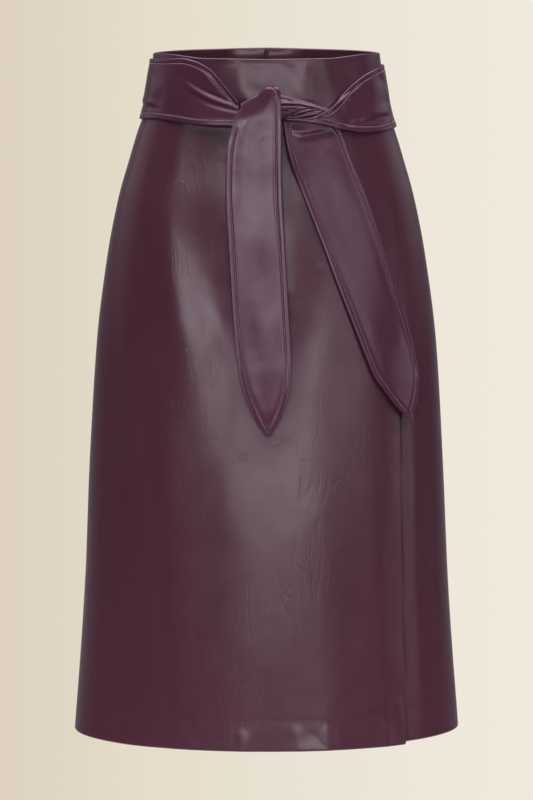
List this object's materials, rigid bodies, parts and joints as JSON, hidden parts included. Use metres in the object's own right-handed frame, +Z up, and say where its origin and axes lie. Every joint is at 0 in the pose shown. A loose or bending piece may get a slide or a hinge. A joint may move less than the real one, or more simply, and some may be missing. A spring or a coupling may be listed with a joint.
{
  "type": "faux leather midi skirt",
  "caption": "A-line midi skirt in plum faux leather, filled out as worn, with a mock-wrap front, waistband, centre-back zip and a knotted tie belt with hanging ends.",
  "frame": {"origin": "centre of the waistband ring at its mid height, where the wearer's waist holds the skirt", "axes": "+Z up, +X towards the wearer's left side, the front faces -Y"},
  "size_m": [0.4392, 0.3297, 0.7758],
  "materials": {
    "skirt_leather": "soft semi-gloss plum faux leather with a fine grain",
    "belt_leather": "soft semi-gloss plum faux leather, doubled and edge-stitched",
    "zip_tape": "matt woven tape",
    "zip_metal": "plum lacquer"
  },
  "bodies": {
    "skirt": {"wrap_front": "skirt_leather", "under_front": "skirt_leather", "back_left": "skirt_leather", "back_right": "skirt_leather", "waistband_front": "skirt_leather", "waistband_back_left": "skirt_leather", "waistband_back_right": "skirt_leather", "belt_back": "belt_leather", "belt_left": "belt_leather", "belt_right": "belt_leather", "belt_knot": "belt_leather", "belt_tail_front": "belt_leather", "belt_tail_side": "belt_leather", "zip_tape": "zip_tape", "zip_slider": "zip_metal"},
    "pull_tab": {"zip_pull": "zip_metal"}
  },
  "joints": [
    {"name": "pull_tab_flip", "type": "hinge", "parent": "skirt", "child": "pull_tab", "pos_m": [0, 0.09574, 0.0345], "axis": [1, 0, 0], "range_deg": [0, 150]}
  ]
}
